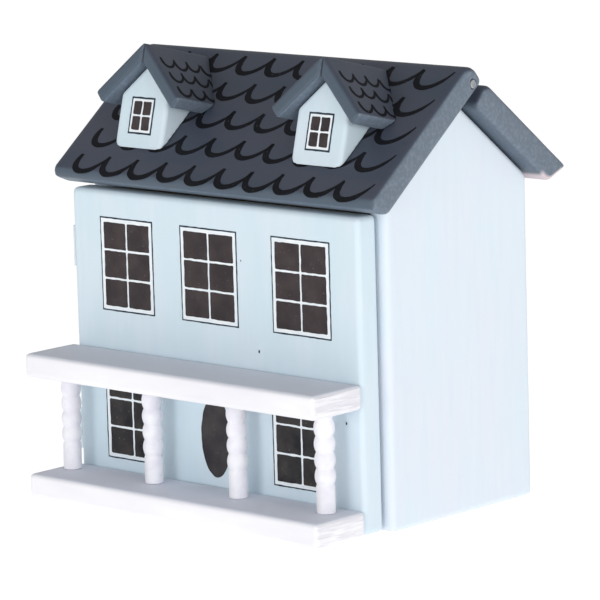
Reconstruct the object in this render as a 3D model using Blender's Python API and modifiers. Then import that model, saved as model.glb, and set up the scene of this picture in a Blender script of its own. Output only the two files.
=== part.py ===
"""A painted wooden miniature house whose front board and front roof slope swing open.

Metres, +Z up, the front faces -Y. The origin is under the middle of the house walls.
"""

import math

import bmesh
import bpy
from mathutils import Matrix, Vector

# House walls
HOUSE_WIDTH = 0.0860
HOUSE_DEPTH = 0.0456
EAVES_HEIGHT = 0.0700
WALL_THICK = 0.0050
BACK_THICK = 0.0040
BASE_THICK = 0.0040
FLOOR_THICK = 0.0030
UPPER_FLOOR_TOP = 0.0370
ATTIC_FLOOR_DROP = 0.0040
FLOOR_SETBACK = 0.0010
WALL_ROUND = 0.0009
FLOOR_ROUND = 0.0003

# Roof
ROOF_PITCH = math.radians(38.5)
ROOF_END_OVERHANG = 0.0040
ROOF_THICK = 0.0060
ROOF_EDGE_ROUND = 0.0009
FRONT_EAVE_OVERHANG = 0.0045
FRONT_NOSE = 0.0021
REAR_EAVE_OVERHANG = 0.0034
EAVE_UNDERCUT = math.radians(22.0)
RIDGE_RUN = 0.0056
RIDGE_ROUND = 0.0030
REAR_RIDGE_START = 0.0024
REAR_RIDGE_ROUND = 0.0018

# Roof pivot: a nail through each end of the front slope and an ear on each gable
PIVOT_INSET = 0.0026
PIVOT_RISE = 0.0018
EAR_RADIUS = 0.0019
EAR_CLEARANCE = 0.0004
EAR_NECK_FRONT = 0.0009
EAR_NECK_REAR = 0.0012
NAIL_RADIUS = 0.0006
NAIL_HEAD_RADIUS = 0.0009
NAIL_HEAD_THICK = 0.0005
NAIL_BITE = 0.0030
NAIL_RECESS = 0.0002

# Front board and porch
FRONT_RIGHT_INSET = 0.0020
FRONT_TOP_DROP = 0.0028
FRONT_THICK = 0.0060
FRONT_GAP = 0.0005
GROUND_GAP = 0.0003
FRONT_ROUND = 0.0010
PORCH_DEPTH = 0.0148
PORCH_LEFT_OVERHANG = 0.0010
PORCH_RIGHT_OVERHANG = 0.0002
PORCH_FLOOR_THICK = 0.0054
PORCH_ROOF_THICK = 0.0053
PORCH_ROOF_TOP = 0.0324
PORCH_ROUND = 0.0007

# Turned porch posts
POST_COUNT = 4
POST_FIRST_INSET = 0.0042
POST_LAST_INSET = 0.0060
POST_FROM_BOARD = 0.0055
POST_SHANK_RADIUS = 0.0019
POST_BEAD_RADIUS = 0.00225
POST_WAIST_RADIUS = 0.00175
POST_SHANK_HEIGHT = 0.0058
POST_BEAD_HEIGHT = 0.0034
POST_BEADS = 4
POST_SHANK_EASE = 0.0010

# Hinges of the front board
HINGE_HEIGHT = 0.0090
HINGE_END_INSET = 0.0132
HINGE_LEAF_WIDTH = 0.0040
HINGE_LEAF_THICK = 0.0005
HINGE_BARREL_RADIUS = 0.0011
HINGE_PIN_RADIUS = 0.0004
HINGE_CLEARANCE = 0.0002
HINGE_BRAD_RADIUS = 0.00035
HINGE_BRAD_HEAD_RADIUS = 0.0008
HINGE_BRAD_HEAD_THICK = 0.0003
HINGE_BRAD_LENGTH = 0.0030
HINGE_BRAD_SPACING = 0.0050

# Dormers
DORMER_SPREAD = 0.0260
DORMER_WIDTH = 0.0142
DORMER_SHOULDER = 0.0121
DORMER_PITCH = math.radians(43.0)
DORMER_LEAN = math.radians(14.0)
DORMER_FOOT = 0.0278
DORMER_CORNER_ROUND = 0.0018
DORMER_FACE_ROUND = 0.0007
DORMER_ROOF_THICK = 0.0032
DORMER_ROOF_HALF_SPAN = 0.0127
DORMER_ROOF_OVERHANG = 0.0025
DORMER_ROOF_ROUND = 0.0006
DORMER_DEPTH = 0.0220

# Gap kept between faces that touch on the real object, and how far cutters run past them
JOINT_GAP = 0.0003
BORE_GAP = 0.0002
CUT_MARGIN = 0.0010

# Facets and welding
WELD = 0.00001
FLAT_ANGLE = math.radians(0.5)
BEVEL_ANGLE = math.radians(32.0)
EAR_SEGMENTS = 12
RIDGE_SEGMENTS = 5
TURNED_STEPS = 16
BEAD_STEPS = 4
CORNER_SEGMENTS = 4
KNUCKLE_SEGMENTS = 14
PROFILE_TURN = (math.radians(90.0), 0.0, math.radians(90.0))

HALF_WIDTH = HOUSE_WIDTH / 2
HALF_DEPTH = HOUSE_DEPTH / 2
INNER_HALF = HALF_WIDTH - WALL_THICK
GABLE_APEX = EAVES_HEIGHT + HALF_DEPTH * math.tan(ROOF_PITCH)
SLOPE_APEX = GABLE_APEX + JOINT_GAP / math.cos(ROOF_PITCH)
FRONT_BACK_Y = -HALF_DEPTH - FRONT_GAP
FRONT_FACE_Y = FRONT_BACK_Y - FRONT_THICK
FRONT_LEFT = -HALF_WIDTH
FRONT_RIGHT = HALF_WIDTH - FRONT_RIGHT_INSET
FRONT_HEIGHT = EAVES_HEIGHT - FRONT_TOP_DROP
HINGE_CENTRES = (HINGE_END_INSET, FRONT_HEIGHT - HINGE_END_INSET)
ROOF_LENGTH = HOUSE_WIDTH + 2 * ROOF_END_OVERHANG
ATTIC_FLOOR_TOP = EAVES_HEIGHT - ATTIC_FLOOR_DROP
WALL_RUN = HALF_DEPTH / math.cos(ROOF_PITCH)
FRONT_EAVE_REACH = WALL_RUN + FRONT_EAVE_OVERHANG
REAR_EAVE_REACH = WALL_RUN + REAR_EAVE_OVERHANG


def slope_point(along, above, side=-1):
    """(y, z) of a point on the underside plane of a roof slope.

    along runs down the slope from the apex, above is square to it, side is -1 in front.
    """
    cosine, sine = math.cos(ROOF_PITCH), math.sin(ROOF_PITCH)
    y = side * (along * cosine + above * sine)
    return y, SLOPE_APEX - along * sine + above * cosine


PIVOT_Y, PIVOT_Z = slope_point(PIVOT_INSET - RIDGE_RUN, PIVOT_RISE)
HINGE_X = FRONT_LEFT - JOINT_GAP - HINGE_BARREL_RADIUS
HINGE_Y = -HALF_DEPTH - FRONT_GAP / 2
NAIL_SEAT_X = ROOF_LENGTH / 2 - NAIL_RECESS - NAIL_HEAD_THICK
NAIL_TIP_X = HALF_WIDTH - WALL_THICK - EAR_CLEARANCE - NAIL_BITE


def new_collection(name):
    made = bpy.data.collections.new(name)
    bpy.context.scene.collection.children.link(made)
    return made


def material(name, colour, roughness, metallic=0.0):
    made = bpy.data.materials.new(name)
    made.use_nodes = True
    shader = made.node_tree.nodes["Principled BSDF"]
    shader.inputs["Base Color"].default_value = (*colour, 1.0)
    shader.inputs["Roughness"].default_value = roughness
    shader.inputs["Metallic"].default_value = metallic
    return made


def add_part(name, mesh, where, finish, pivot=None, rotation=(0.0, 0.0, 0.0)):
    """Links a mesh as one sub-part, hung on its pivot when it moves."""
    part = bpy.data.objects.new(name, mesh)
    HOUSE.objects.link(part)
    mesh.materials.append(finish)
    part.rotation_euler = rotation
    part.location = where
    if pivot is not None:
        part.parent = pivot
        part.location = Vector(where) - pivot.location
    return part


def add_cutter(name, mesh, where=(0.0, 0.0, 0.0), rotation=(0.0, 0.0, 0.0)):
    cutter = bpy.data.objects.new(name, mesh)
    CUTTERS.objects.link(cutter)
    cutter.location = where
    cutter.rotation_euler = rotation
    cutter.hide_render = True
    cutter.display_type = "WIRE"
    return cutter


def add_pivot(name, where):
    pivot = bpy.data.objects.new(name, None)
    HOUSE.objects.link(pivot)
    pivot.empty_display_size = 0.01
    pivot.location = where
    return pivot


def mesh_from(name, shape):
    mesh = bpy.data.meshes.new(name)
    shape.to_mesh(mesh)
    shape.free()
    return mesh


def box_mesh(name, size):
    shape = bmesh.new()
    bmesh.ops.create_cube(shape, size=1.0)
    bmesh.ops.scale(shape, vec=size, verts=shape.verts)
    return mesh_from(name, shape)


def add_cylinder(shape, radius, start, end, segments=16):
    """Adds a closed cylinder between two points on one axis."""
    start, end = Vector(start), Vector(end)
    run = end - start
    turn = run.to_track_quat("Z", "Y").to_matrix().to_4x4()
    place = Matrix.Translation((start + end) / 2) @ turn
    bmesh.ops.create_cone(
        shape,
        cap_ends=True,
        segments=segments,
        radius1=radius,
        radius2=radius,
        depth=run.length,
        matrix=place,
    )


def outline_mesh(name, points, thickness):
    """A prism of a flat outline, made with a filled 2D curve and then welded."""
    curve = bpy.data.curves.new(name + "_outline", "CURVE")
    curve.dimensions = "2D"
    curve.fill_mode = "BOTH"
    curve.extrude = thickness / 2
    spline = curve.splines.new("POLY")
    spline.points.add(len(points) - 1)
    for point, (x, y) in zip(spline.points, points):
        point.co = (x, y, 0.0, 1.0)
    spline.use_cyclic_u = True
    holder = bpy.data.objects.new(name + "_outline", curve)
    CUTTERS.objects.link(holder)
    graph = bpy.context.evaluated_depsgraph_get()
    mesh = bpy.data.meshes.new_from_object(holder.evaluated_get(graph))
    bpy.data.objects.remove(holder, do_unlink=True)
    shape = bmesh.new()
    shape.from_mesh(mesh)
    bmesh.ops.remove_doubles(shape, verts=shape.verts, dist=WELD)
    bmesh.ops.dissolve_limit(shape, angle_limit=FLAT_ANGLE, verts=shape.verts, edges=shape.edges)
    bmesh.ops.recalc_face_normals(shape, faces=shape.faces)
    shape.to_mesh(mesh)
    shape.free()
    mesh.name = name
    return mesh


def arc(centre, radius, start, end, segments):
    """Points of an arc, from one angle to another in degrees."""
    steps = [start + (end - start) * i / segments for i in range(segments + 1)]
    return [
        (
            centre[0] + radius * math.cos(math.radians(angle)),
            centre[1] + radius * math.sin(math.radians(angle)),
        )
        for angle in steps
    ]


def bevel(part, width, segments=2):
    made = part.modifiers.new("Rounded edges", "BEVEL")
    made.width = width
    made.segments = segments
    made.limit_method = "ANGLE"
    made.angle_limit = BEVEL_ANGLE


def boolean(part, other, operation="DIFFERENCE"):
    made = part.modifiers.new(other.name, "BOOLEAN")
    made.operation = operation
    made.object = other


def board(name, low, high, finish, rounding, pivot=None):
    """A rectangular board between two corners, with rounded edges."""
    low, high = Vector(low), Vector(high)
    part = add_part(name, box_mesh(name, high - low), (low + high) / 2, finish, pivot)
    bevel(part, rounding)
    return part


def walls_and_floors():
    rear_y = HALF_DEPTH
    floor_half = INNER_HALF - JOINT_GAP
    floor_front = -rear_y + FLOOR_SETBACK
    floor_back = rear_y - BACK_THICK - JOINT_GAP
    board(
        "base_board",
        (-floor_half, -rear_y, 0.0),
        (floor_half, floor_back, BASE_THICK),
        BARE_WOOD,
        FLOOR_ROUND,
    )
    for name, top in (("upper_floor", UPPER_FLOOR_TOP), ("attic_floor", ATTIC_FLOOR_TOP)):
        board(
            name,
            (-floor_half, floor_front, top - FLOOR_THICK),
            (floor_half, floor_back, top),
            BARE_WOOD,
            FLOOR_ROUND,
        )
    board(
        "back_wall",
        (-floor_half, rear_y - BACK_THICK, 0.0),
        (floor_half, rear_y, EAVES_HEIGHT - JOINT_GAP),
        PALE_BLUE,
        WALL_ROUND,
    )


def gable_outline():
    """(y, z) of a gable wall, whose peak rises into the round ear that holds the roof nail."""
    slope = math.tan(ROOF_PITCH)
    neck_front = -EAR_NECK_FRONT
    neck_rear = EAR_NECK_REAR
    ear = arc((PIVOT_Y, PIVOT_Z), EAR_RADIUS, 200, -45, EAR_SEGMENTS)
    return [
        (-HALF_DEPTH, 0.0),
        (-HALF_DEPTH, EAVES_HEIGHT),
        (neck_front, GABLE_APEX - EAR_NECK_FRONT * slope),
        *ear,
        (neck_rear, GABLE_APEX - EAR_NECK_REAR * slope),
        (HALF_DEPTH, EAVES_HEIGHT),
        (HALF_DEPTH, 0.0),
    ]


def gable_walls(nail_holes, brad_holes):
    for name, side in (("left_wall", -1), ("right_wall", 1)):
        mesh = outline_mesh(name, gable_outline(), WALL_THICK)
        where = (side * (HALF_WIDTH - WALL_THICK / 2), 0.0, 0.0)
        wall = add_part(name, mesh, where, PALE_BLUE, rotation=PROFILE_TURN)
        bevel(wall, WALL_ROUND)
        boolean(wall, nail_holes)
        if side < 0:
            boolean(wall, brad_holes)


def eave_points(reach, nose, side):
    """Underside corner, nose foot and nose top of an eave that is cut plumb and then undercut."""
    foot = Vector(slope_point(reach, 0.0, side))
    outward = Vector((side * math.cos(EAVE_UNDERCUT), math.sin(EAVE_UNDERCUT)))
    top = Vector(slope_point(0.0, ROOF_THICK, side))
    square = Vector((side * math.sin(ROOF_PITCH), math.cos(ROOF_PITCH)))
    plumb = Vector((0.0, nose))
    run = square.dot(top - foot - plumb) / square.dot(outward)
    nose_foot = foot + outward * run
    return [tuple(foot), tuple(nose_foot), tuple(nose_foot + plumb)]


def ridge_arc(along, radius, side):
    """The rounded upper corner at the ridge end of a slope, from its top face to its end face."""
    centre = slope_point(along + radius, ROOF_THICK - radius, side)
    tilt = math.degrees(ROOF_PITCH)
    square = 90 - side * tilt
    return arc(centre, radius, square, square + side * 90, RIDGE_SEGMENTS)


def front_roof(roof_pivot, nail_cuts):
    outline = eave_points(FRONT_EAVE_REACH, FRONT_NOSE, -1)
    outline += ridge_arc(-RIDGE_RUN, RIDGE_ROUND, -1)
    outline.append(slope_point(-RIDGE_RUN, 0.0))
    roof = add_part(
        "front_roof",
        outline_mesh("front_roof", outline, ROOF_LENGTH),
        (0.0, 0.0, 0.0),
        SLATE,
        roof_pivot,
        PROFILE_TURN,
    )
    bevel(roof, ROOF_EDGE_ROUND)
    sine, cosine = math.sin(ROOF_PITCH), math.cos(ROOF_PITCH)
    neck_run = EAR_NECK_FRONT / cosine + (SLOPE_APEX - GABLE_APEX) * sine
    slot_run = RIDGE_RUN + neck_run + EAR_CLEARANCE + CUT_MARGIN
    slot_rise = PIVOT_RISE + EAR_RADIUS + EAR_CLEARANCE + CUT_MARGIN
    middle = slope_point(slot_run / 2 - RIDGE_RUN - CUT_MARGIN, slot_rise / 2 - CUT_MARGIN)
    for name, side in (("left_ear_slot", -1), ("right_ear_slot", 1)):
        size = (WALL_THICK + 2 * EAR_CLEARANCE, slot_run, slot_rise)
        where = (side * (HALF_WIDTH - WALL_THICK / 2), *middle)
        slot = add_cutter(name, box_mesh(name, size), where, (ROOF_PITCH, 0.0, 0.0))
        boolean(roof, slot)
    for cut in nail_cuts:
        boolean(roof, cut)


def rear_roof():
    outline = eave_points(REAR_EAVE_REACH, 0.0, 1)[:2]
    outline += ridge_arc(REAR_RIDGE_START, REAR_RIDGE_ROUND, 1)
    outline.append(slope_point(REAR_RIDGE_START, 0.0, 1))
    roof = add_part(
        "rear_roof",
        outline_mesh("rear_roof", outline, ROOF_LENGTH),
        (0.0, 0.0, 0.0),
        SLATE,
        rotation=PROFILE_TURN,
    )
    bevel(roof, ROOF_EDGE_ROUND)


def nail_cutters():
    """The roof nails' holes through roof and ears, and the recesses of their heads."""
    holes = bmesh.new()
    recesses = bmesh.new()
    for side in (-1, 1):
        outer = side * (ROOF_LENGTH / 2 + CUT_MARGIN)
        tip = side * (NAIL_TIP_X - JOINT_GAP)
        seat = side * (NAIL_SEAT_X - JOINT_GAP)
        axis = (PIVOT_Y, PIVOT_Z)
        add_cylinder(holes, NAIL_RADIUS + BORE_GAP, (outer, *axis), (tip, *axis))
        add_cylinder(recesses, NAIL_HEAD_RADIUS + BORE_GAP, (outer, *axis), (seat, *axis))
    return (
        add_cutter("nail_holes", mesh_from("nail_holes", holes)),
        add_cutter("nail_head_recesses", mesh_from("nail_head_recesses", recesses)),
    )


def turned(name, profile, where, finish, pivot=None, rotation=(0.0, 0.0, 0.0)):
    """A turned piece: (radius, height) points run down its outer side, closed on the axis."""
    shape = bmesh.new()
    verts = [shape.verts.new((radius, 0.0, height)) for radius, height in profile]
    for upper, lower in zip(verts, verts[1:]):
        shape.edges.new((upper, lower))
    part = add_part(name, mesh_from(name, shape), where, finish, pivot, rotation)
    screw = part.modifiers.new("Turned", "SCREW")
    screw.steps = TURNED_STEPS
    screw.render_steps = TURNED_STEPS
    screw.use_merge_vertices = True
    screw.merge_threshold = WELD
    return part


def roof_nails(roof_pivot):
    length = NAIL_SEAT_X + NAIL_HEAD_THICK - NAIL_TIP_X
    profile = [
        (0.0, length),
        (NAIL_HEAD_RADIUS, length),
        (NAIL_HEAD_RADIUS, length - NAIL_HEAD_THICK),
        (NAIL_RADIUS, length - NAIL_HEAD_THICK),
        (NAIL_RADIUS, 0.0),
        (0.0, 0.0),
    ]
    for name, side in (("left_roof_nail", -1), ("right_roof_nail", 1)):
        where = (side * NAIL_TIP_X, PIVOT_Y, PIVOT_Z)
        turned(name, profile, where, STEEL, roof_pivot, (0.0, side * math.radians(90.0), 0.0))


def front_board(front_pivot, brad_holes):
    front = board(
        "front_board",
        (FRONT_LEFT, FRONT_FACE_Y, GROUND_GAP),
        (FRONT_RIGHT, FRONT_BACK_Y, FRONT_HEIGHT),
        PALE_BLUE,
        FRONT_ROUND,
        front_pivot,
    )
    boolean(front, brad_holes)


def porch(front_pivot):
    left = FRONT_LEFT - PORCH_LEFT_OVERHANG
    right = FRONT_RIGHT + PORCH_RIGHT_OVERHANG
    back = FRONT_FACE_Y - JOINT_GAP
    floor_top = GROUND_GAP + PORCH_FLOOR_THICK
    roof_foot = PORCH_ROOF_TOP - PORCH_ROOF_THICK
    for name, low, high in (
        ("porch_floor", GROUND_GAP, floor_top),
        ("porch_roof", roof_foot, PORCH_ROOF_TOP),
    ):
        board(
            name,
            (left, back - PORCH_DEPTH, low),
            (right, back, high),
            WHITE,
            PORCH_ROUND,
            front_pivot,
        )
    foot = floor_top + JOINT_GAP
    profile = post_profile(roof_foot - JOINT_GAP - foot)
    spacing = (right - left - POST_FIRST_INSET - POST_LAST_INSET) / (POST_COUNT - 1)
    for number in range(POST_COUNT):
        where = (
            left + POST_FIRST_INSET + number * spacing,
            FRONT_FACE_Y - POST_FROM_BOARD,
            foot,
        )
        turned(f"porch_post_{number + 1}", profile, where, WHITE, front_pivot)


def post_profile(height):
    """A plain shank below, then a stack of round beads, then a short neck up to the top."""
    beads_top = POST_SHANK_HEIGHT + POST_BEADS * POST_BEAD_HEIGHT
    profile = [(0.0, height), (POST_SHANK_RADIUS, height), (POST_WAIST_RADIUS, beads_top)]
    swell = POST_BEAD_RADIUS - POST_WAIST_RADIUS
    for step in range(1, POST_BEADS * BEAD_STEPS + 1):
        phase = step / BEAD_STEPS
        radius = POST_WAIST_RADIUS + swell * abs(math.sin(math.pi * phase))
        profile.append((radius, beads_top - phase * POST_BEAD_HEIGHT))
    profile.append((POST_SHANK_RADIUS, POST_SHANK_HEIGHT - POST_SHANK_EASE))
    profile += [(POST_SHANK_RADIUS, 0.0), (0.0, 0.0)]
    return profile


def brad_places():
    """(y, z) of the hinge brads, by the body that they are driven into."""
    reach = HINGE_BARREL_RADIUS + HINGE_CLEARANCE + HINGE_LEAF_WIDTH / 2
    heights = [
        centre + side * HINGE_BRAD_SPACING / 2 for centre in HINGE_CENTRES for side in (-1, 1)
    ]
    return {
        "wall": [(HINGE_Y + reach, height) for height in heights],
        "front": [(HINGE_Y - reach, height) for height in heights],
    }


def brad_hole_cutter():
    shape = bmesh.new()
    outer = HINGE_X - HINGE_BARREL_RADIUS
    tip = FRONT_LEFT + HINGE_BRAD_LENGTH + JOINT_GAP
    for places in brad_places().values():
        for place in places:
            radius = HINGE_BRAD_RADIUS + BORE_GAP
            add_cylinder(shape, radius, (outer, *place), (tip, *place), 12)
    return add_cutter("brad_holes", mesh_from("brad_holes", shape))


def hinge_brads(front_pivot):
    leaf_face = HINGE_X + HINGE_BARREL_RADIUS - HINGE_LEAF_THICK
    tip = FRONT_LEFT + HINGE_BRAD_LENGTH
    seat = tip - leaf_face + JOINT_GAP / 2
    profile = [
        (0.0, seat + HINGE_BRAD_HEAD_THICK),
        (HINGE_BRAD_HEAD_RADIUS, seat + HINGE_BRAD_HEAD_THICK),
        (HINGE_BRAD_HEAD_RADIUS, seat),
        (HINGE_BRAD_RADIUS, seat),
        (HINGE_BRAD_RADIUS, 0.0),
        (0.0, 0.0),
    ]
    turn = (0.0, math.radians(-90.0), 0.0)
    for body, pivot in (("wall", None), ("front", front_pivot)):
        for number, place in enumerate(brad_places()[body]):
            turned(f"{body}_leaf_brad_{number + 1}", profile, (tip, *place), BRASS, pivot, turn)


def knuckle_outline(side):
    """(x, y) round the barrel, centred on the pin, with a tongue that runs into the leaf."""
    radius = HINGE_BARREL_RADIUS
    inner = radius - HINGE_LEAF_THICK
    tongue = radius + HINGE_CLEARANCE + HINGE_LEAF_WIDTH / 8
    end = 360 + math.degrees(math.asin(inner / radius))
    barrel = [(x, y) for y, x in arc((0.0, 0.0), radius, 90, end, KNUCKLE_SEGMENTS)]
    points = [(radius, tongue), *barrel, (inner, tongue)]
    return [(x, side * y) for x, y in points]


def hinges(front_pivot, brad_holes):
    """Butt hinges on the left side: a leaf on the wall, a leaf on the front board, and a pin."""
    third = HINGE_HEIGHT / 3
    plate_x = HINGE_BARREL_RADIUS - HINGE_LEAF_THICK / 2
    plate_y = HINGE_BARREL_RADIUS + HINGE_CLEARANCE + HINGE_LEAF_WIDTH / 2
    for label, centre in zip(("lower", "upper"), HINGE_CENTRES):
        where = (HINGE_X, HINGE_Y, centre)
        bore = bmesh.new()
        reach = HINGE_HEIGHT / 2 + CUT_MARGIN
        radius = HINGE_PIN_RADIUS + BORE_GAP
        add_cylinder(bore, radius, (0.0, 0.0, -reach), (0.0, 0.0, reach))
        pin_bore = add_cutter(f"{label}_pin_bore", mesh_from(f"{label}_pin_bore", bore), where)
        for body, side, pivot, offsets in (
            ("wall", 1, None, (-third, third)),
            ("front", -1, front_pivot, (0.0,)),
        ):
            name = f"{label}_hinge_{body}_leaf"
            size = (HINGE_LEAF_THICK, HINGE_LEAF_WIDTH, HINGE_HEIGHT)
            leaf_place = Vector(where) + Vector((plate_x, side * plate_y, 0.0))
            leaf = add_part(name, box_mesh(name, size), leaf_place, BRASS, pivot)
            for number, offset in enumerate(offsets):
                knuckle_name = f"{name}_knuckle_{number + 1}"
                height = third - 2 * HINGE_CLEARANCE
                knuckle = outline_mesh(knuckle_name, knuckle_outline(side), height)
                place = Vector(where) + Vector((0.0, 0.0, offset))
                boolean(leaf, add_cutter(knuckle_name, knuckle, place), "UNION")
            boolean(leaf, pin_bore)
            boolean(leaf, brad_holes)
        profile = [
            (0.0, HINGE_HEIGHT / 2),
            (HINGE_PIN_RADIUS, HINGE_HEIGHT / 2),
            (HINGE_PIN_RADIUS, -HINGE_HEIGHT / 2),
            (0.0, -HINGE_HEIGHT / 2),
        ]
        turned(f"{label}_hinge_pin", profile, where, BRASS)


def dormer_body_outline():
    """(x, height) of a dormer's pentagonal face, its two lower corners rounded."""
    half = DORMER_WIDTH / 2
    radius = DORMER_CORNER_ROUND
    rise = half * math.tan(DORMER_PITCH)
    return [
        *arc((-half + radius, radius), radius, 270, 180, CORNER_SEGMENTS),
        (-half, DORMER_SHOULDER),
        (0.0, DORMER_SHOULDER + rise),
        (half, DORMER_SHOULDER),
        *arc((half - radius, radius), radius, 0, -90, CORNER_SEGMENTS),
    ]


def dormer_roof_outline(side):
    """(x, height) of one dormer roof board, cut plumb at the ridge and square at its eave."""
    slope = math.tan(DORMER_PITCH)
    cosine, sine = math.cos(DORMER_PITCH), math.sin(DORMER_PITCH)
    seat = DORMER_SHOULDER + DORMER_WIDTH / 2 * slope + JOINT_GAP / cosine
    top = seat + DORMER_ROOF_THICK / cosine
    ridge = JOINT_GAP / 2
    eave = top - DORMER_ROOF_HALF_SPAN * slope
    return [
        (side * ridge, seat - ridge * slope),
        (side * ridge, top - ridge * slope),
        (side * DORMER_ROOF_HALF_SPAN, eave),
        (
            side * (DORMER_ROOF_HALF_SPAN - DORMER_ROOF_THICK * sine),
            eave - DORMER_ROOF_THICK * cosine,
        ),
    ]


def dormers(roof_pivot):
    """Each dormer leans back square to its own ridge, and is cut to sit on the front slope."""
    block = 0.08
    plane = Vector((0.0, *slope_point(DORMER_FOOT, ROOF_THICK + JOINT_GAP)))
    square = Vector((0.0, -math.sin(ROOF_PITCH), math.cos(ROOF_PITCH)))
    slope_block = add_cutter(
        "slope_block",
        box_mesh("slope_block", (2 * HOUSE_WIDTH, block, block)),
        plane - square * block / 2,
        (ROOF_PITCH, 0.0, 0.0),
    )
    turn = (math.radians(90.0) - DORMER_LEAN, 0.0, 0.0)
    inward = Vector((0.0, math.cos(DORMER_LEAN), -math.sin(DORMER_LEAN)))
    for label, side in (("left", -1), ("right", 1)):
        foot = plane + Vector((side * DORMER_SPREAD, 0.0, 0.0))
        name = f"{label}_dormer_body"
        mesh = outline_mesh(name, dormer_body_outline(), DORMER_DEPTH)
        body = add_part(name, mesh, foot + inward * DORMER_DEPTH / 2, PALE_BLUE, roof_pivot, turn)
        bevel(body, DORMER_FACE_ROUND)
        boolean(body, slope_block)
        for roof_label, roof_side in (("left", -1), ("right", 1)):
            name = f"{label}_dormer_roof_{roof_label}"
            depth = DORMER_DEPTH + DORMER_ROOF_OVERHANG
            mesh = outline_mesh(name, dormer_roof_outline(roof_side), depth)
            place = foot + inward * (depth / 2 - DORMER_ROOF_OVERHANG)
            roof = add_part(name, mesh, place, SLATE, roof_pivot, turn)
            bevel(roof, DORMER_ROOF_ROUND)
            boolean(roof, slope_block)


def smooth_round_parts():
    for part in HOUSE.objects:
        if part.type == "MESH":
            part.data.shade_smooth()
            part.data.set_sharp_from_angle(angle=BEVEL_ANGLE)


for old in list(bpy.data.objects):
    bpy.data.objects.remove(old, do_unlink=True)

HOUSE = new_collection("dolls_house")
CUTTERS = new_collection("cutters")
PALE_BLUE = material("pale_blue_paint", (0.60, 0.75, 0.82), 0.55)
WHITE = material("white_paint", (0.88, 0.88, 0.90), 0.55)
SLATE = material("slate_paint", (0.075, 0.095, 0.125), 0.5)
BARE_WOOD = material("bare_wood", (0.72, 0.55, 0.36), 0.7)
BRASS = material("brass", (0.70, 0.52, 0.22), 0.35, 1.0)
STEEL = material("steel", (0.42, 0.42, 0.43), 0.4, 1.0)

roof_pivot = add_pivot("roof_pivot", (0.0, PIVOT_Y, PIVOT_Z))
front_pivot = add_pivot("front_pivot", (HINGE_X, HINGE_Y, 0.0))
nail_holes, nail_recesses = nail_cutters()
brad_holes = brad_hole_cutter()

walls_and_floors()
gable_walls(nail_holes, brad_holes)
rear_roof()
front_roof(roof_pivot, (nail_holes, nail_recesses))
roof_nails(roof_pivot)
front_board(front_pivot, brad_holes)
porch(front_pivot)
hinges(front_pivot, brad_holes)
hinge_brads(front_pivot)
dormers(roof_pivot)
smooth_round_parts()
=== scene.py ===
"""Looks of a painted miniature house: soft-edged boards, turned posts and hand-painted decoration.

Metres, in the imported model's frame. Each painted mark lies on a flat side that is read from
the frame, and the numbers of the marks are millimetres on that side.
"""

import math

import bmesh
import bpy
from mathutils import Matrix, Vector, noise


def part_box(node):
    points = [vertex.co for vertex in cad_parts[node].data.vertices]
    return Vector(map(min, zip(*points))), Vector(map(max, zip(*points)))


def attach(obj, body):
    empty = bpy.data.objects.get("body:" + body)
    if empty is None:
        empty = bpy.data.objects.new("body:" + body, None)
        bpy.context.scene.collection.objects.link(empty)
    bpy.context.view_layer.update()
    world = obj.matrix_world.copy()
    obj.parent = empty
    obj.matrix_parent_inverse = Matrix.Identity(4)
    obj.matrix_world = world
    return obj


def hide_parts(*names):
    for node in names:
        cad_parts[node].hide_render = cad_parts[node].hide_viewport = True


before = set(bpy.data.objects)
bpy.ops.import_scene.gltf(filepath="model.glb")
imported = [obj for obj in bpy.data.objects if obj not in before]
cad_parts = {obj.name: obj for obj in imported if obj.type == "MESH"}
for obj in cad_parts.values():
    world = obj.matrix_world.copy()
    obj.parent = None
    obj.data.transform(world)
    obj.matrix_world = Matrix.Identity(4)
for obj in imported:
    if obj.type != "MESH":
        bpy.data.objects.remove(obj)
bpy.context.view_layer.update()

MM = 0.001
X, Y, Z = Vector((1.0, 0.0, 0.0)), Vector((0.0, 1.0, 0.0)), Vector((0.0, 0.0, 1.0))

# The gap that the frame keeps between glued pieces, which paint fills on the real one
GLUE_GAP = 0.25 * MM
# A painted mark goes this far into its board, and its layers stand this far out
MARK_ROOT = 0.25 * MM
MARK_LIFT = 0.02 * MM
# A hand-finished face lies up to about twice this depth inside the flat one, and its
# unevenness repeats about this often
SWAY = 0.03 * MM
SWAY_LENGTH = 6 * MM

# Facet sizes: small ones for small or much-seen boards
COARSE = 0.7 * MM
USUAL = 0.5 * MM
FRONT_FINE = 0.45 * MM
PORCH_FINE = 0.4 * MM
DORMER_FINE = 0.3 * MM
# Smoothing passes that round a board's edges, and the bevel on metal ones
RUBBING = 4
BROKEN_EDGE = 0.08 * MM

# Turned posts, with radii as shares of the widest one
POST_WAIST = 0.80
POST_SHANK = 0.90
POST_BEADS = 4
POST_BEAD_HEIGHT = 3.4 * MM
POST_SHANK_HEIGHT = 5.8 * MM
POST_ROWS = 96
POST_AROUND = 40
POST_ROUGHNESS = 0.02 * MM
# Sideways run for each unit of height
FIRST_POST_LEAN = 0.02

# Windows and door on the front board: spans along it, then heights
UPPER_WINDOW_SPANS = ((8.7, 24.6), (32.8, 49.5), (59.4, 76.0))
UPPER_WINDOW_HEIGHTS = (40.5, 61.1)
LOWER_WINDOW_SPANS = ((8.7, 25.0), (58.4, 75.0))
LOWER_WINDOW_HEIGHTS = (7.7, 28.3)
# Panes across and up, then the widths of the dark line, the white frame and its bars
HOUSE_PANES = (2, 3)
HOUSE_WINDOW_LINES = (0.32, 0.78, 0.45)
DOOR_CENTRE = (41.7, 16.0)
DOOR_HALF_SIZE = (4.3, 8.8)
# Specks of dark paint: place along, height and half-width
SPECKS = ((55.2, 36.0, 0.22), (79.5, 23.5, 0.2), (50.6, 55.0, 0.12))

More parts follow.
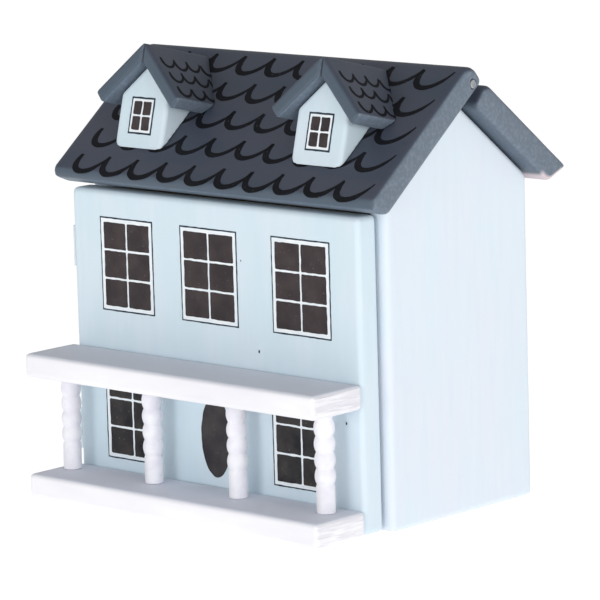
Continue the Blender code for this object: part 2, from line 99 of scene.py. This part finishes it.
# Dormer windows
DORMER_WINDOW_HALF = 3.5
DORMER_WINDOW_HEIGHTS = (3.2, 11.3)
DORMER_PANES = (2, 2)
DORMER_WINDOW_LINES = (0.4, 0.5, 0.4)

# Scallops on the slope: margin, count and pitch are across and then up, and each scallop
# has a depth and a stroke weight
SLOPE_MARGIN = (5.9, 5.4)
SLOPE_COUNTS = (10, 5)
SLOPE_PITCH = (8.53, 8.15)
SLOPE_SCALLOP = (4.9, 1.6)
# Scallops on the dormers' slabs: rows give their height and count, and each scallop has a
# width, a depth and a stroke weight
SLAB_MARGIN = 2.2
SLAB_ROWS = ((4.2, 3), (8.6, 4), (12.9, 4))
SLAB_PITCH = 4.1
SLAB_SCALLOP = (4.2, 2.7, 0.9)

# Surrounding light: strength at the horizon, strength high up, and where the fade ends
SKY_LOW = 0.75
SKY_HIGH = 0.4
SKY_FADE_END = 0.7

# Paper floor, and the point that both lights face
PAPER_GREY = (0.35, 0.35, 0.35, 1.0)
PAPER_GLOW = 0.86
PAPER_HALF_SIZE = 6.0
LIGHTS_AIM = (0.0, 0.0, 0.05)

# Camera: place in metres, then angles and focal length in millimetres
CAMERA_PLACE = Vector((0.5859, -0.6329, 0.1910))
CAMERA_AZIMUTH = math.radians(42.934)
CAMERA_ELEVATION = math.radians(9.804)
CAMERA_ROLL = math.radians(-1.626)
CAMERA_LENS = 241.45


# Colours and materials


def linear(code):
    """Linear RGB of a colour written as six hex digits."""
    parts = [int(code[i : i + 2], 16) / 255 for i in (0, 2, 4)]
    return tuple(((part + 0.055) / 1.055) ** 2.4 for part in parts)


class Finish:
    """A Principled material, with short calls that add nodes and return their sockets."""

    def __init__(self, name, roughness, metallic=0.0, specular=0.5):
        self.material = bpy.data.materials.new(name)
        self.material.use_nodes = True
        self.nodes = self.material.node_tree.nodes
        self.links = self.material.node_tree.links
        self.surface = self.nodes["Principled BSDF"]
        self.surface.inputs["Roughness"].default_value = roughness
        self.surface.inputs["Metallic"].default_value = metallic
        self.surface.inputs["Specular IOR Level"].default_value = specular
        self.coordinates = self.nodes.new("ShaderNodeTexCoord")

    def put(self, socket, value):
        if isinstance(value, bpy.types.NodeSocket):
            self.links.new(value, socket)
        elif isinstance(value, tuple) and len(value) == 3 and socket.type == "RGBA":
            socket.default_value = (*value, 1.0)
        else:
            socket.default_value = value

    def noise(self, size, stretch=(1.0, 1.0, 1.0), detail=4.0, seed=0.0):
        """Noise with blots about size across, drawn out along an axis where stretch is small."""
        mapping = self.nodes.new("ShaderNodeMapping")
        self.put(mapping.inputs["Vector"], self.coordinates.outputs["Object"])
        mapping.inputs["Scale"].default_value = stretch
        mapping.inputs["Location"].default_value = (seed, seed, seed)
        made = self.nodes.new("ShaderNodeTexNoise")
        self.put(made.inputs["Vector"], mapping.outputs["Vector"])
        made.inputs["Scale"].default_value = 1.0 / size
        made.inputs["Detail"].default_value = detail
        return made.outputs["Fac"]

    def between(self, value, low, high, start=0.0, end=1.0):
        made = self.nodes.new("ShaderNodeMapRange")
        self.put(made.inputs["Value"], value)
        made.inputs["From Min"].default_value = low
        made.inputs["From Max"].default_value = high
        made.inputs["To Min"].default_value = start
        made.inputs["To Max"].default_value = end
        return made.outputs["Result"]

    def math(self, operation, first, second):
        made = self.nodes.new("ShaderNodeMath")
        made.operation = operation
        self.put(made.inputs[0], first)
        self.put(made.inputs[1], second)
        return made.outputs[0]

    def mix(self, factor, first, second):
        made = self.nodes.new("ShaderNodeMix")
        made.data_type = "RGBA"
        self.put(made.inputs["Factor"], factor)
        self.put(made.inputs[6], first)
        self.put(made.inputs[7], second)
        return made.outputs[2]

    def along(self, output, axis):
        """One coordinate of the object's own position or normal."""
        split = self.nodes.new("ShaderNodeSeparateXYZ")
        self.put(split.inputs[0], self.coordinates.outputs[output])
        return split.outputs["XYZ".index(axis)]

    def edges(self, low, high):
        """1 on rubbed outer edges and 0 on flat faces."""
        geometry = self.nodes.new("ShaderNodeNewGeometry")
        return self.between(geometry.outputs["Pointiness"], low, high)

    def relief(self, *layers):
        """Stacks bumps: each layer is a height and its depth in metres."""
        normal = None
        for height, depth in layers:
            bump = self.nodes.new("ShaderNodeBump")
            self.put(bump.inputs["Height"], height)
            bump.inputs["Distance"].default_value = depth
            if normal is not None:
                self.put(bump.inputs["Normal"], normal)
            normal = bump.outputs["Normal"]
        self.put(self.surface.inputs["Normal"], normal)

    def colour(self, value):
        self.put(self.surface.inputs["Base Color"], value)
        return self.material


def drawn_out(axis, amount=0.08):
    """The stretch that runs a texture along one axis."""
    return tuple(amount if name == axis else 1.0 for name in "XYZ")


def pale_paint(name, main, cool, streak, grain):
    """Thin pale paint brushed on wood: mottled, with faint streaks and ridges along the grain."""
    finish = Finish(name, 0.62, specular=0.3)
    mottle = finish.between(finish.noise(14 * MM, drawn_out(grain, 0.4), 3.0), 0.35, 0.65)
    strands = finish.noise(1.6 * MM, drawn_out(grain), 5.0, 3.0)
    brush = finish.between(strands, 0.42, 0.75, 0.0, 0.25)
    rubbed = finish.math("MULTIPLY", finish.edges(0.53, 0.62), 0.35)
    base = finish.mix(mottle, main, cool)
    base = finish.mix(brush, base, streak)
    base = finish.mix(rubbed, base, linear("f3f6f8"))
    ridges = finish.noise(0.5 * MM, drawn_out(grain, 0.05), 3.0, 7.0)
    peel = finish.noise(0.35 * MM, detail=2.0, seed=11.0)
    finish.relief((ridges, 0.035 * MM), (peel, 0.02 * MM))
    return finish.colour(base)


def porch_paint(name):
    """White paint whose end grain shows as fine saw lines on the boards' ends, with painted shade
    darkening the upward faces.
    """
    finish = Finish(name, 0.6, specular=0.3)
    mottle = finish.between(finish.noise(9 * MM, drawn_out("X", 0.3), 3.0), 0.35, 0.7)
    base = finish.mix(mottle, linear("f4f4f7"), linear("e9e8ef"))
    # Upward faces are darkened: painted shade for the weaker light that falls on the tops.
    upward = finish.between(finish.along("Normal", "Z"), 0.35, 0.85)
    base = finish.mix(upward, base, linear("dcdfe9"))
    on_end = finish.between(finish.math("ABSOLUTE", finish.along("Normal", "X"), 0.0), 0.6, 0.9)
    lines = finish.between(finish.noise(0.55 * MM, (1.0, 0.06, 1.0), 2.0, 5.0), 0.45, 0.6)
    scored = finish.math("MULTIPLY", lines, on_end)
    base = finish.mix(finish.math("MULTIPLY", scored, 0.35), base, linear("cfc9d6"))
    ridges = finish.noise(0.6 * MM, drawn_out("X", 0.05), 3.0, 2.0)
    finish.relief((ridges, 0.03 * MM), (scored, -0.09 * MM))
    return finish.colour(base)


def post_paint(name):
    """White paint pooled on lathe work: smooth, with faint turning rings and soft mottling."""
    finish = Finish(name, 0.5, specular=0.35)
    mottle = finish.between(finish.noise(2.5 * MM, detail=3.0), 0.35, 0.7)
    base = finish.mix(mottle, linear("eeeef3"), linear("e4e2ec"))
    rings = finish.noise(0.4 * MM, (0.1, 0.1, 1.0), 2.0, 3.0)
    finish.relief((rings, 0.012 * MM))
    return finish.colour(base)


def slate_paint(name, bare_eave_from=None):
    """Dark blue-grey paint, darker on top, lighter on ends and rubbed on edges, with painted shade
    on the ends that face the front.

    Beyond bare_eave_from along Y, the underside is pale.
    """
    finish = Finish(name, 0.5, specular=0.4)
    mottle = finish.between(finish.noise(11 * MM, drawn_out("X", 0.35), 4.0), 0.35, 0.65)
    top = finish.mix(mottle, linear("3c4655"), linear("464a58"))
    chalk = finish.between(finish.noise(0.8 * MM, detail=5.0, seed=4.0), 0.45, 0.75, 0.0, 0.6)
    side = finish.mix(chalk, linear("65717f"), linear("808b9a"))
    # Ends that face the front get a darker side colour: painted shade.
    shaded_nose = finish.between(finish.along("Normal", "Y"), -0.45, -0.8)
    side = finish.mix(shaded_nose, side, linear("4a5866"))
    upward = finish.between(finish.along("Normal", "Z"), 0.3, 0.6)
    base = finish.mix(upward, side, top)
    patchy = finish.between(finish.noise(3.5 * MM, detail=5.0, seed=9.0), 0.47, 0.6)
    rubbed = finish.math("MULTIPLY", finish.edges(0.54, 0.6), patchy)
    base = finish.mix(finish.math("MULTIPLY", rubbed, 0.55), base, linear("b4b9c4"))
    if bare_eave_from is not None:
        behind = finish.between(finish.along("Object", "Y"), bare_eave_from, bare_eave_from + MM)
        under = finish.between(finish.along("Normal", "Z"), -0.2, -0.5)
        base = finish.mix(finish.math("MULTIPLY", behind, under), base, linear("cdbfc4"))
    ridges = finish.noise(0.7 * MM, drawn_out("X", 0.06), 3.0, 1.0)
    grit = finish.noise(0.4 * MM, detail=3.0, seed=6.0)
    finish.relief((ridges, 0.03 * MM), (grit, 0.03 * MM))
    return finish.colour(base)


def ink_paint(name, dark, light, roughness=0.5):
    """Hand-painted ink: a little thin in places, with dust specks."""
    finish = Finish(name, roughness, specular=0.1)
    thin = finish.between(finish.noise(5 * MM, detail=4.0), 0.35, 0.7)
    base = finish.mix(thin, dark, light)
    dust = finish.between(finish.noise(0.45 * MM, detail=1.0, seed=8.0), 0.74, 0.8, 0.0, 0.5)
    base = finish.mix(dust, base, linear("8c8a8c"))
    finish.relief((finish.noise(0.4 * MM, detail=2.0, seed=2.0), 0.01 * MM))
    return finish.colour(base)


def bare_wood(name):
    """Sanded softwood with growth lines and a few darker pores."""
    finish = Finish(name, 0.7, specular=0.3)
    rings = finish.noise(2.6 * MM, drawn_out("X", 0.07), 4.0)
    base = finish.mix(finish.between(rings, 0.35, 0.65), linear("dcc49f"), linear("c7a678"))
    pores = finish.between(finish.noise(0.5 * MM, drawn_out("X", 0.05), 2.0, 4.0), 0.62, 0.72)
    base = finish.mix(finish.math("MULTIPLY", pores, 0.4), base, linear("a37f55"))
    finish.relief((rings, 0.05 * MM), (pores, -0.04 * MM))
    return finish.colour(base)


def metal(name, bright, dull, roughness):
    """Handled metal with a dulled film and fine scratches."""
    finish = Finish(name, roughness, metallic=1.0)
    film = finish.between(finish.noise(1.2 * MM, detail=5.0), 0.4, 0.65)
    scratches = finish.noise(0.25 * MM, (0.1, 1.0, 1.0), 3.0, 5.0)
    finish.relief((scratches, 0.01 * MM))
    return finish.colour(finish.mix(film, bright, dull))


# Geometry helpers


def flat_side(node, hint, along):
    """The plane of a board's main flat side that faces hint, as a matrix.

    Its X runs along, its Z points out, and its origin is the board's lower corner on that plane.
    """
    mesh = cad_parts[node].data
    facing = [face for face in mesh.polygons if face.normal.dot(hint) > 0.8]
    largest = max(facing, key=lambda face: face.area)
    out = largest.normal.copy()
    right = (along - out * along.dot(out)).normalized()
    up = out.cross(right)
    spots = [vertex.co for vertex in mesh.vertices]
    corner = right * min(right.dot(spot) for spot in spots)
    corner += up * min(up.dot(spot) for spot in spots)
    corner += out * out.dot(largest.center)
    turn = Matrix((right, up, out)).transposed().to_4x4()
    return Matrix.Translation(corner) @ turn


def turn_of(plane):
    return plane.to_3x3().to_4x4()


def run_of(node, plane):
    """How far a board goes along a plane's own X, in millimetres."""
    along = plane.to_3x3() @ X
    reaches = [along.dot(vertex.co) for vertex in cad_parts[node].data.vertices]
    return (max(reaches) - min(reaches)) / MM


def new_piece(name, mesh, body, material, replaced=()):
    piece = bpy.data.objects.new(name, mesh)
    bpy.context.scene.collection.objects.link(piece)
    mesh.materials.clear()
    mesh.materials.append(material)
    mesh.shade_smooth()
    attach(piece, body)
    if replaced:
        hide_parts(*replaced)
    return piece


def evened(mesh, voxel):
    """The same solid in small even facets, with its edges rubbed round."""
    holder = bpy.data.objects.new("evened", mesh)
    bpy.context.scene.collection.objects.link(holder)
    remesh = holder.modifiers.new("Even facets", "REMESH")
    remesh.mode = "VOXEL"
    remesh.voxel_size = voxel
    smooth = holder.modifiers.new("Rubbed edges", "SMOOTH")
    smooth.factor = 0.5
    smooth.iterations = RUBBING
    graph = bpy.context.evaluated_depsgraph_get()
    made = bpy.data.meshes.new_from_object(holder.evaluated_get(graph))
    bpy.data.objects.remove(holder)
    return made


def soft_board(node, body, material, slot, grid=None, reach=None, shift=None, voxel=USUAL):
    """A finer copy of a board with rubbed edges.

    grid turns it square to its facets. reach moves the half that faces it, and shift the whole
    board, to close a gap.
    """
    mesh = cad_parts[node].data.copy()
    grid = Matrix.Identity(4) if grid is None else grid
    shape = bmesh.new()
    shape.from_mesh(mesh)
    bmesh.ops.remove_doubles(shape, verts=shape.verts, dist=0.001 * MM)
    shape.to_mesh(mesh)
    shape.free()
    mesh.transform(grid.inverted())
    mesh = evened(mesh, voxel)
    mesh.transform(grid)
    low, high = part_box(node)
    middle = (low + high) / 2
    normals = [vertex.normal.copy() for vertex in mesh.vertices]
    for vertex, normal in zip(mesh.vertices, normals):
        inward = SWAY * (1.0 + noise.noise(vertex.co / SWAY_LENGTH))
        if reach is not None and (vertex.co - middle).dot(reach) > 0:
            vertex.co += reach
        if shift is not None:
            vertex.co += shift
        vertex.co -= normal * inward
    return new_piece(node + "_painted", mesh, body, material, [node])


def turned_post(node, material, lean=0.0):
    """A post turned on a lathe: a plain shank, soft beads and a short neck."""
    low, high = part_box(node)
    centre = (low + high) / 2
    widest = (high.x - low.x) / 2
    waist = widest * POST_WAIST
    shank = widest * POST_SHANK
    foot, top = low.z - GLUE_GAP, high.z + GLUE_GAP
    seed = sum(ord(letter) for letter in node)
    shape = bmesh.new()
    rings = []
    for row in range(POST_ROWS + 1):
        height = foot + (top - foot) * row / POST_ROWS
        up = height - low.z
        phase = (up - POST_SHANK_HEIGHT) / POST_BEAD_HEIGHT
        if phase <= 0:
            radius = shank - (shank - waist) * max(0.0, 1 + phase * 5) ** 2
        elif phase < POST_BEADS:
            radius = waist + (widest - waist) * abs(math.sin(math.pi * phase)) ** 0.8
        else:
            radius = waist + (shank - waist) * min(1.0, (phase - POST_BEADS) * 1.4)
        ring = []
        for step in range(POST_AROUND):
            angle = 2 * math.pi * step / POST_AROUND
            outward = Vector((math.cos(angle), math.sin(angle), 0.0))
            rough = noise.noise(Vector((outward.x, outward.y, up / (2 * MM) + seed)))
            spot = Vector((centre.x + lean * (height - centre.z), centre.y, height))
            ring.append(shape.verts.new(spot + outward * (radius - POST_ROUGHNESS * (1 + rough))))
        rings.append(ring)
    for lower, upper in zip(rings, rings[1:]):
        for step in range(POST_AROUND):
            following = (step + 1) % POST_AROUND
            shape.faces.new((lower[step], lower[following], upper[following], upper[step]))
    shape.faces.new(list(reversed(rings[0])))
    shape.faces.new(rings[-1])
    mesh = bpy.data.meshes.new(node)
    shape.to_mesh(mesh)
    shape.free()
    return new_piece(node + "_turned", mesh, "front", material, [node])


# Painted marks


def painted_mark(name, plane, outlines, layer, body, material):
    """Thin closed plates on a plane, one for each outline of (x, y) points in millimetres."""
    shape = bmesh.new()
    top = MARK_LIFT * layer
    for outline in outlines:
        under, over = (
            [shape.verts.new(plane @ Vector((x * MM, y * MM, height))) for x, y in outline]
            for height in (-MARK_ROOT, top)
        )
        shape.faces.new(over)
        shape.faces.new(list(reversed(under)))
        for i in range(len(outline)):
            j = (i + 1) % len(outline)
            shape.faces.new((under[i], under[j], over[j], over[i]))
    bmesh.ops.recalc_face_normals(shape, faces=shape.faces)
    mesh = bpy.data.meshes.new(name)
    shape.to_mesh(mesh)
    shape.free()
    piece = new_piece(name, mesh, body, material)
    piece.data.shade_flat()


def by_hand(outline, seed, wobble=0.07, step=0.6):
    """The closed outline with more points, each a little off, as a brush leaves it."""
    made = []
    for start, end in zip(outline, outline[1:] + outline[:1]):
        count = max(1, round(math.dist(start, end) / step))
        for i in range(count):
            x = start[0] + (end[0] - start[0]) * i / count
            y = start[1] + (end[1] - start[1]) * i / count
            off = noise.noise_vector(Vector((x * 0.7, y * 0.7, seed)))
            made.append((x + wobble * off.x, y + wobble * off.y))
    return made


def rounded(low, high, radius):
    """A rectangle with quarter-round corners, anticlockwise."""
    corners = [
        (high[0] - radius, high[1] - radius, 0),
        (low[0] + radius, high[1] - radius, 90),
        (low[0] + radius, low[1] + radius, 180),
        (high[0] - radius, low[1] + radius, 270),
    ]
    made = []
    for x, y, start in corners:
        for turn in (0, 30, 60, 90):
            angle = math.radians(start + turn)
            made.append((x + radius * math.cos(angle), y + radius * math.sin(angle)))
    return made


def stroke(points, widths):
    """The outline of a brush stroke along points, with a width at each."""
    left, right = [], []
    for i, (point, width) in enumerate(zip(points, widths)):
        before, after = points[max(0, i - 1)], points[min(len(points) - 1, i + 1)]
        run = math.dist(before, after)
        side = ((before[1] - after[1]) / run * width / 2, (after[0] - before[0]) / run * width / 2)
        left.append((point[0] + side[0], point[1] + side[1]))
        right.append((point[0] - side[0], point[1] - side[1]))
    return left + right[::-1]


def window(low, high, columns, rows, line, border, bar, seed):
    """The outlines of a painted window: its dark line, its white frame and its panes."""
    inner_low = (low[0] + line, low[1] + line)
    inner_high = (high[0] - line, high[1] - line)
    outer = by_hand(rounded(low, high, 0.12), seed, 0.09)
    white = by_hand(rounded(inner_low, inner_high, 0.1), seed + 5, 0.07)
    width = (inner_high[0] - inner_low[0] - 2 * border - (columns - 1) * bar) / columns
    height = (inner_high[1] - inner_low[1] - 2 * border - (rows - 1) * bar) / rows
    panes = []
    for column in range(columns):
        for row in range(rows):
            x = inner_low[0] + border + column * (width + bar)
            y = inner_low[1] + border + row * (height + bar)
            pane = rounded((x, y), (x + width, y + height), 0.3)
            panes.append(by_hand(pane, seed + 1 + column + 3 * row, 0.12))
    return outer, white, panes


def paint_windows(name, plane, places, grid, sizes, body, panes_paint):
    """All of a board's windows, as three layers of marks."""
    drawn = [
        window(low, high, *grid, *sizes, seed=13.0 * number + 1)
        for number, (low, high) in enumerate(places)
    ]
    outers = [outer for outer, _, _ in drawn]
    painted_mark(name + "_lines", plane, outers, 1, body, LINE_INK)
    whites = [white for _, white, _ in drawn]
    painted_mark(name + "_frames", plane, whites, 2, body, FRAME_WHITE)
    panes = [pane for _, _, several in drawn for pane in several]
    painted_mark(name + "_panes", plane, panes, 3, body, panes_paint)


def scallop(left, top, width, depth, weight, seed):
    """One brushed hook: pressed on the way down and round, and lifted to a tip on the right."""
    corners = (Vector((0.06, 0.0)), Vector((-0.12, -1.3)), Vector((0.7, -1.4)), Vector((1.03, 0.0)))
    points, widths = [], []
    steps = 18
    for i in range(steps + 1):
        share = i / steps
        rest = 1 - share
        spot = rest**3 * corners[0] + 3 * rest**2 * share * corners[1]
        spot += 3 * rest * share**2 * corners[2] + share**3 * corners[3]
        points.append((left + width * spot.x, top + depth * spot.y))
        press = 1.0 - 0.5 * share**1.5
        ends = min(1.0, 0.55 + 3 * share, 0.35 + 4 * rest)
        uneven = 1 + 0.15 * noise.noise(Vector((*points[-1], seed)))
        widths.append(weight * press * ends * uneven)
    return stroke(points, widths)


def scallop_rows(margin, counts, pitch, size):
    """Rows of scallops on a slope, each a little out of line."""
    made = []
    depth, weight = size
    for row in range(counts[1]):
        for column in range(counts[0]):
            seed = 7.3 * row + 1.9 * column
            jog = noise.noise_vector(Vector((seed, 1.7, 4.1)))
            x = margin[0] + column * pitch[0] + 0.35 * jog.x * pitch[0] / 8
            y = margin[1] + row * pitch[1] + 0.45 * jog.y * pitch[0] / 8
            deep = depth * (1 + 0.06 * jog.z)
            made.append(scallop(x, y, pitch[0] * 1.02, deep, weight, seed))
    return made


def slate_marks():
    slope = flat_side("front_roof", Z - Y, X)
    rows = scallop_rows(SLOPE_MARGIN, SLOPE_COUNTS, SLOPE_PITCH, SLOPE_SCALLOP)
    painted_mark("roof_scallops", slope, rows, 1, "roof", SCALLOP_INK)
    for dormer in ("left", "right"):
        frontward = flat_side(f"{dormer}_dormer_body", -Y, X).to_3x3() @ Z
        for side, outward, run in (("left", -X, frontward), ("right", X, -frontward)):
            node = f"{dormer}_dormer_roof_{side}"
            slab = Matrix.Translation(dormer_sink()) @ flat_side(node, Z + outward, run)
            from_front = run_of(node, slab) if side == "left" else None
            marks = dormer_scallops(from_front)
            painted_mark(f"{node}_scallops", slab, marks, 1, "roof", SCALLOP_INK)


def dormer_scallops(mirrored_in=None):
    """Three short rows from the plane's origin or, mirrored in the slab's run, its far end."""
    made = []
    width, depth, weight = SLAB_SCALLOP
    for row, (up, count) in enumerate(SLAB_ROWS):
        for column in range(count):
            seed = 3.1 * row + 1.3 * column
            jog = noise.noise_vector(Vector((seed, 2.2, 0.4)))
            left = SLAB_MARGIN + column * SLAB_PITCH + 0.5 * jog.x
            if mirrored_in is not None:
                left = mirrored_in - left - width
            made.append(scallop(left, up + 0.4 * jog.y, width, depth, weight, seed))
    return made


def dormer_sink():
    """Brings the dormers down on to the slope, across the gap that the frame keeps."""
    return turn_of(flat_side("front_roof", Z - Y, X)) @ Vector((0.0, 0.0, -GLUE_GAP))


# Two copies of the same pale blue paint. The side walls' copy is lighter (painted light) and the
# front's copy is darker (painted shade), for how the light falls on each side.
PALE_BLUE_LIT_SIDE = pale_paint(
    "pale_blue_lit_side", linear("dbe7f0"), linear("dfe5ef"), linear("cfdfe9"), "Z"
)
PALE_BLUE_SHADED_FRONT = pale_paint(
    "pale_blue_shaded_front", linear("cfe1ea"), linear("d6e3ec"), linear("c6dae5"), "Z"
)
PORCH_WHITE = porch_paint("porch_white")
POST_WHITE = post_paint("post_white")
SLATE = slate_paint("slate")
WALL_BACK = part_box("back_wall")[1].y
SLATE_REAR = slate_paint("slate_rear", bare_eave_from=WALL_BACK)
WOOD = bare_wood("sanded_wood")
STEEL = metal("nail_steel", linear("b9bcc0"), linear("7c7f84"), 0.45)
LINE_INK = ink_paint("line_ink", linear("26343f"), linear("34444f"))
FRAME_WHITE = ink_paint("frame_white", linear("eef3f6"), linear("e3ebf0"))
PANE_INK = ink_paint("pane_ink", linear("383234"), linear("484041"))
# The lower windows, under the porch roof, get a darker copy of the pane ink: painted shade.
SHADED_LOWER_PANE_INK = ink_paint("shaded_lower_pane_ink", linear("26262a"), linear("45413f"))
DOOR_INK = ink_paint("door_ink", linear("343136"), linear("4b4746"))
SCALLOP_INK = ink_paint("scallop_ink", linear("121318"), linear("1a1b21"), 0.6)


def walls():
    for node in ("left_wall", "right_wall", "back_wall"):
        soft_board(node, "house", PALE_BLUE_LIT_SIDE, "pale_blue_paint")
    for node in ("base_board", "upper_floor", "attic_floor"):
        soft_board(node, "house", WOOD, "bare_wood", voxel=COARSE)


def around(centre, half_size, step):
    """The points of an ellipse, one every step degrees."""
    turns = [math.radians(turn) for turn in range(0, 360, step)]
    return [
        (centre[0] + half_size[0] * math.cos(turn), centre[1] + half_size[1] * math.sin(turn))
        for turn in turns
    ]


def placed(spans, heights):
    """The lower and upper corner of each window in a row."""
    return [((left, heights[0]), (right, heights[1])) for left, right in spans]


def front():
    soft_board("front_board", "front", PALE_BLUE_SHADED_FRONT, "pale_blue_paint", voxel=FRONT_FINE)
    back = Y * GLUE_GAP
    for node in ("porch_floor", "porch_roof"):
        soft_board(node, "front", PORCH_WHITE, "white_paint", reach=back, voxel=PORCH_FINE)
    for number in range(1, 5):
        lean = FIRST_POST_LEAN if number == 1 else 0.0
        turned_post(f"porch_post_{number}", POST_WHITE, lean)
    face = flat_side("front_board", -Y, X)
    for name, spans, heights, panes in (
        ("upper_windows", UPPER_WINDOW_SPANS, UPPER_WINDOW_HEIGHTS, PANE_INK),
        ("lower_windows", LOWER_WINDOW_SPANS, LOWER_WINDOW_HEIGHTS, SHADED_LOWER_PANE_INK),
    ):
        places = placed(spans, heights)
        paint_windows(name, face, places, HOUSE_PANES, HOUSE_WINDOW_LINES, "front", panes)
    oval = by_hand(around(DOOR_CENTRE, DOOR_HALF_SIZE, 6), 2.0, 0.12, 2.0)
    painted_mark("oval_door", face, [oval], 1, "front", DOOR_INK)
    specks = [
        by_hand(around((x, y), (size, 1.6 * size), 45), number + 3.0, 0.1, 1.0)
        for number, (x, y, size) in enumerate(SPECKS)
    ]
    painted_mark("paint_specks", face, specks, 1, "front", LINE_INK)


def roof():
    slope = flat_side("front_roof", Z - Y, X)
    soft_board("front_roof", "roof", SLATE, "slate_paint", turn_of(slope))
    rear = flat_side("rear_roof", Z + Y, X)
    soft_board("rear_roof", "house", SLATE_REAR, "slate_paint", turn_of(rear))
    sink = dormer_sink()
    fitted = {"shift": sink, "voxel": DORMER_FINE}
    for dormer in ("left", "right"):
        node = f"{dormer}_dormer_body"
        face = flat_side(node, -Y, X)
        soft_board(node, "roof", PALE_BLUE_SHADED_FRONT, "pale_blue_paint", turn_of(face), **fitted)
        for side, outward in (("left", -X), ("right", X)):
            slab_node = f"{dormer}_dormer_roof_{side}"
            grid = turn_of(flat_side(slab_node, Z + outward, face.to_3x3() @ Z))
            soft_board(slab_node, "roof", SLATE, "slate_paint", grid, **fitted)
        plane = Matrix.Translation(sink) @ face
        low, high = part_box(node)
        middle = (high.x - low.x) / 2 / MM
        span = (middle - DORMER_WINDOW_HALF, middle + DORMER_WINDOW_HALF)
        place = placed([span], DORMER_WINDOW_HEIGHTS)
        name = f"{dormer}_dormer_window"
        paint_windows(name, plane, place, DORMER_PANES, DORMER_WINDOW_LINES, "roof", PANE_INK)


def metalwork():
    """The nails are bare steel. The hinges and their brads are painted over like the front."""
    for name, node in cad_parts.items():
        is_nail = name.endswith("roof_nail")
        if is_nail or "hinge" in name or "brad" in name:
            node.data.materials.clear()
            node.data.materials.append(STEEL if is_nail else PALE_BLUE_SHADED_FRONT)
            rounding = node.modifiers.new("Broken edges", "BEVEL")
            rounding.width = BROKEN_EDGE
            rounding.segments = 2
            rounding.limit_method = "ANGLE"


# Studio


def camera():
    flat = math.cos(CAMERA_ELEVATION)
    back = Vector(
        (
            math.sin(CAMERA_AZIMUTH) * flat,
            -math.cos(CAMERA_AZIMUTH) * flat,
            math.sin(CAMERA_ELEVATION),
        )
    )
    level = (-back).cross(Z).normalized()
    upright = back.cross(level)
    right = math.cos(CAMERA_ROLL) * level + math.sin(CAMERA_ROLL) * upright
    up = math.cos(CAMERA_ROLL) * upright - math.sin(CAMERA_ROLL) * level
    data = bpy.data.cameras.new("camera")
    data.lens = CAMERA_LENS
    data.sensor_width = 36.0
    made = bpy.data.objects.new("camera", data)
    bpy.context.scene.collection.objects.link(made)
    turn = Matrix((right, up, back)).transposed().to_4x4()
    made.matrix_world = Matrix.Translation(CAMERA_PLACE) @ turn
    bpy.context.scene.camera = made


def softbox(name, place, size, power):
    light = bpy.data.lights.new(name, "AREA")
    light.shape = "SQUARE"
    light.size = size
    light.energy = power
    made = bpy.data.objects.new(name, light)
    bpy.context.scene.collection.objects.link(made)
    made.location = place
    made.rotation_euler = (Vector(LIGHTS_AIM) - Vector(place)).to_track_quat("-Z", "Y").to_euler()


def studio():
    scene = bpy.context.scene
    scene.view_settings.view_transform = "Standard"
    world = bpy.data.worlds.new("studio")
    scene.world = world
    world.use_nodes = True
    nodes, links = world.node_tree.nodes, world.node_tree.links
    place = nodes.new("ShaderNodeTexCoord")
    split = nodes.new("ShaderNodeSeparateXYZ")
    links.new(place.outputs["Generated"], split.inputs[0])
    fade = nodes.new("ShaderNodeMapRange")
    fade.inputs["From Min"].default_value = 0.0
    fade.inputs["From Max"].default_value = SKY_FADE_END
    fade.inputs["To Min"].default_value = SKY_LOW
    fade.inputs["To Max"].default_value = SKY_HIGH
    links.new(split.outputs["Z"], fade.inputs["Value"])
    links.new(fade.outputs["Result"], nodes["Background"].inputs["Strength"])
    nodes["Background"].inputs["Color"].default_value = (1.0, 1.0, 1.0, 1.0)
    floor_shape = bmesh.new()
    bmesh.ops.create_grid(floor_shape, x_segments=1, y_segments=1, size=PAPER_HALF_SIZE)
    mesh = bpy.data.meshes.new("floor")
    floor_shape.to_mesh(mesh)
    floor_shape.free()
    floor = bpy.data.objects.new("floor", mesh)
    scene.collection.objects.link(floor)
    paper = bpy.data.materials.new("white_paper")
    paper.use_nodes = True
    surface = paper.node_tree.nodes["Principled BSDF"]
    surface.inputs["Base Color"].default_value = PAPER_GREY
    surface.inputs["Roughness"].default_value = 1.0
    surface.inputs["Specular IOR Level"].default_value = 0.0
    surface.inputs["Emission Color"].default_value = (1.0, 1.0, 1.0, 1.0)
    surface.inputs["Emission Strength"].default_value = PAPER_GLOW
    mesh.materials.append(paper)
    softbox("key", (1.1, -0.3, 0.12), size=0.5, power=5.0)
    softbox("fill", (0.1, -1.1, 0.08), size=0.4, power=4.0)


walls()
front()
roof()
slate_marks()
metalwork()
camera()
studio()
